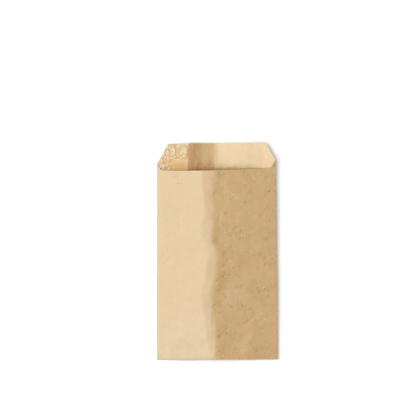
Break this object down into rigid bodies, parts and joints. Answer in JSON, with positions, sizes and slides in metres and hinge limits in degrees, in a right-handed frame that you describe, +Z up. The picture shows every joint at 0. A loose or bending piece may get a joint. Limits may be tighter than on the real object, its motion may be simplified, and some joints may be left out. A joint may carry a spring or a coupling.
{
  "type": "paper flap bag",
  "caption": "Small flat paper bag with a glued lengthwise seam, a turned-up glued bottom and a short flap with cut corners above its open mouth.",
  "frame": {"origin": "centre of the bounding box's bottom face, on the table that the bag lies on", "axes": "+Z up from the table, +Y from the bottom fold towards the flap, +X across the bag, to the right when the flap points away"},
  "size_m": [0.0702, 0.1262, 0.0063],
  "materials": {
    "kraft_paper": "matte, faintly glazed"
  },
  "bodies": {
    "root": {"paper_bag": "kraft_paper"}
  },
  "joints": []
}
